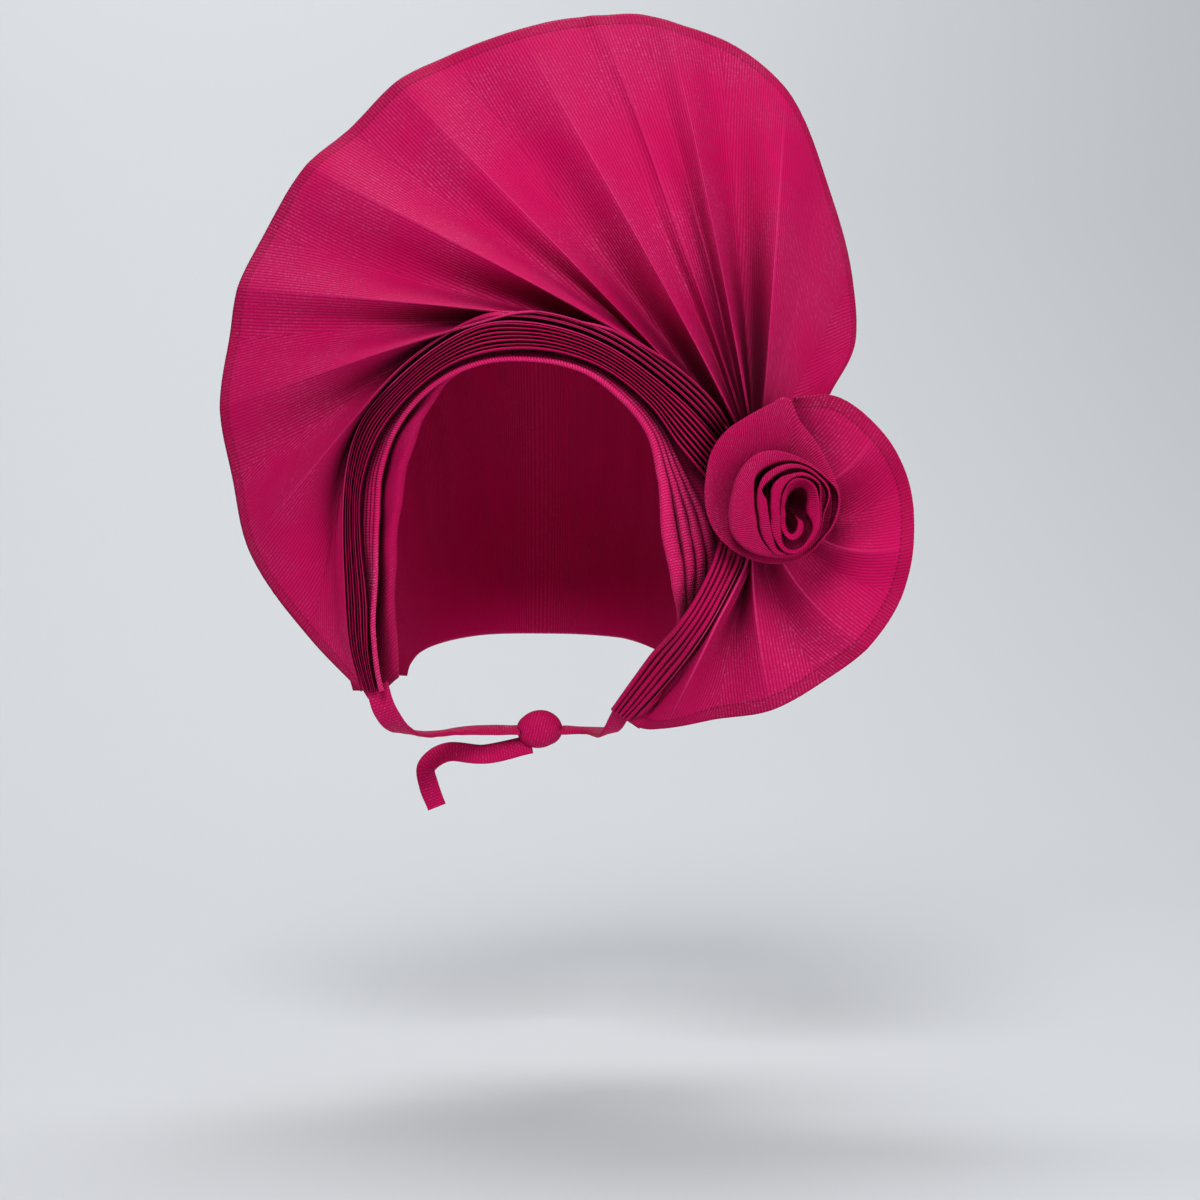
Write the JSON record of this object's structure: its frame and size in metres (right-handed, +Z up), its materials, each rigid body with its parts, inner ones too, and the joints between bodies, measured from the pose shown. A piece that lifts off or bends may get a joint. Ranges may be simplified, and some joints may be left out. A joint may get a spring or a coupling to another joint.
{
  "type": "tied gele head tie",
  "caption": "Ready-tied pleated head wrap: a cap with brow rolls, a pressed pleat band, a large and a small pleated fan, a rolled cloth rose and nape ties.",
  "frame": {"origin": "inside top of the cap, where the crown of the head sits", "axes": "+X to the wearer's left, +Y to the back of the head, +Z up"},
  "size_m": [0.3129, 0.1874, 0.3742],
  "materials": {
    "fan_cloth": "stiff fine-ribbed fuchsia cloth with a soft sheen, hemmed and stitched at the rim",
    "pleat_cloth": "the same ribbed fuchsia cloth, pressed in thin pleats",
    "roll_cloth": "the same ribbed fuchsia cloth rolled tight, its ribs crossing the roll",
    "rosette_cloth": "the same ribbed fuchsia cloth, rolled as a rose",
    "cap_cloth": "the same ribbed fuchsia cloth, drawn close to the head",
    "strap_cloth": "doubled strip of the ribbed fuchsia cloth"
  },
  "bodies": {
    "root": {"cap": "cap_cloth", "brow_roll_1": "roll_cloth", "brow_roll_2": "roll_cloth", "brow_roll_3": "roll_cloth", "brow_roll_4": "roll_cloth", "pleat_band": "pleat_cloth", "large_fan": "fan_cloth", "cheek_pleats": "pleat_cloth", "small_fan": "fan_cloth", "gather_binding": "cap_cloth", "rosette": "rosette_cloth", "strap_left": "strap_cloth", "strap_right": "strap_cloth", "strap_knot": "strap_cloth", "strap_tail": "strap_cloth"}
  },
  "joints": []
}
